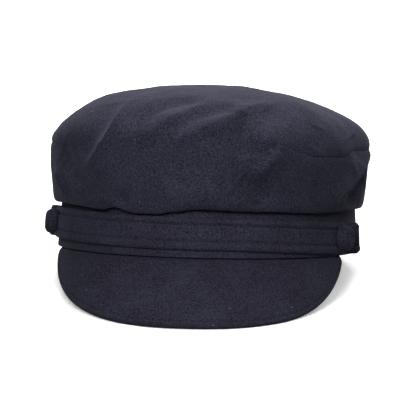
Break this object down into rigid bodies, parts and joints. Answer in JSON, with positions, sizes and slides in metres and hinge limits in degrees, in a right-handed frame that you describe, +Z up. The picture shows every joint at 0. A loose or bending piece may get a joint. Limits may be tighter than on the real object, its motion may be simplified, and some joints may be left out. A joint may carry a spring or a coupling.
{
  "type": "fisherman cap",
  "caption": "Soft wool cap with a full crown over a headband, a short curved peak and a buttoned strap across the front.",
  "frame": {"origin": "middle of the cap's box, on the surface that it rests on", "axes": "+Z up, with the peak towards -Y and the wearer's left at +X; the cap lies on its peak and the back of its headband"},
  "size_m": [0.1924, 0.2534, 0.1182],
  "materials": {
    "navy_wool": "felted wool cloth with a short soft nap",
    "covered_button": "wool cloth stretched over a domed button"
  },
  "bodies": {
    "root": {"crown_top": "navy_wool", "crown_side": "navy_wool", "headband": "navy_wool", "peak": "navy_wool", "strap": "navy_wool", "button_left": "covered_button", "button_right": "covered_button"}
  },
  "joints": []
}
